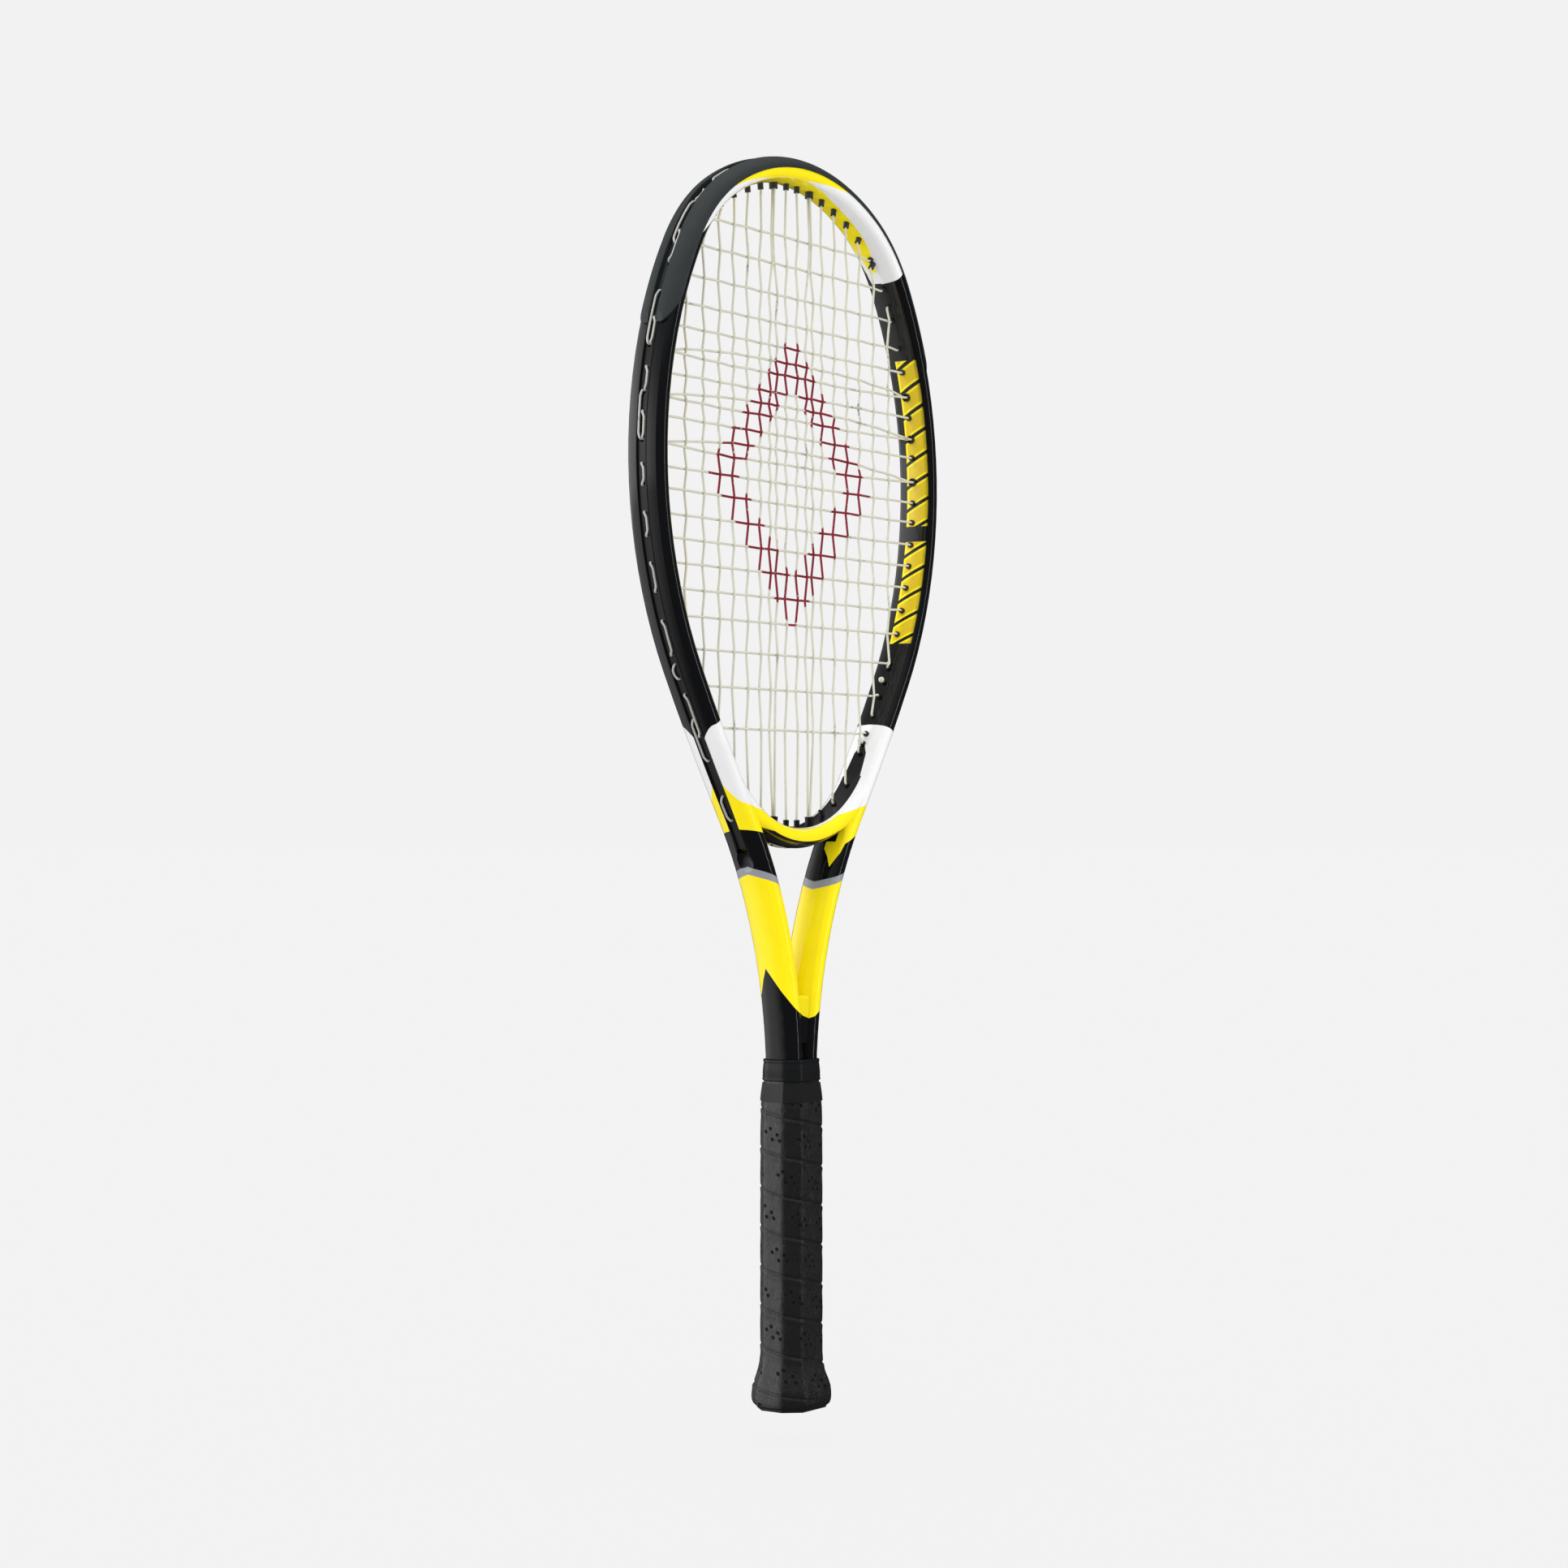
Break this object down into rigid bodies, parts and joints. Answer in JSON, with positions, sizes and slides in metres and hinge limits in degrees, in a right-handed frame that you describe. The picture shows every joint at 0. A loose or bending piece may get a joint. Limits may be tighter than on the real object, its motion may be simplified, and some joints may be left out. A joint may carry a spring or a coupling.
{
  "type": "tennis racket",
  "caption": "Strung racket with an oval head, open throat, bumper guard, wrapped octagonal grip, rubber collar and a butt cap with a pull-out door.",
  "frame": {"origin": "middle of the butt end, on the racket's long axis", "axes": "+Z from the butt to the tip of the head, X across the head, Y through the beam, with the string bed in the plane Y = 0"},
  "size_m": [0.2677, 0.037, 0.6858],
  "materials": {
    "frame_paint": "clear-coated black paint on a composite tube",
    "bridge_paint": "clear-coated yellow paint on a composite yoke",
    "guard_plastic": "satin moulded nylon",
    "grommet_plastic": "satin moulded nylon",
    "string": "translucent synthetic gut, slightly worn",
    "foam": "rigid foam, open skin",
    "handle_foam": "moulded polyurethane, matt",
    "cap_plastic": "satin moulded plastic",
    "door_plastic": "satin moulded plastic",
    "steel": "plain wire",
    "grip_leather": "grained and perforated black grip",
    "tape": "black vinyl tape",
    "collar_rubber": "smooth black rubber"
  },
  "bodies": {
    "racket": {"frame": "frame_paint", "throat_bridge": "bridge_paint", "bumper_guard": "guard_plastic", "grommet_strip_left": "grommet_plastic", "grommet_strip_right": "grommet_plastic", "bridge_grommet_strip": "grommet_plastic", "main_string": "string", "cross_string": "string", "string_knots": "string", "fork_filler": "frame_paint", "leg_plugs": "foam", "handle_pallet": "handle_foam", "butt_cap": "cap_plastic", "butt_cap_staples": "steel", "grip_tack": "steel", "grip_sleeve": "grip_leather", "finishing_tape": "tape"},
    "collar": {"grip_collar": "collar_rubber"},
    "door": {"trap_door": "door_plastic"}
  },
  "joints": [
    {"name": "door_pull", "type": "slide", "parent": "racket", "child": "door", "axis": [0, 0, -1], "range_m": [0, 0.014]},
    {"name": "collar_slide", "type": "slide", "parent": "racket", "child": "collar", "axis": [0, 0, 1], "range_m": [0, 0.004]}
  ]
}
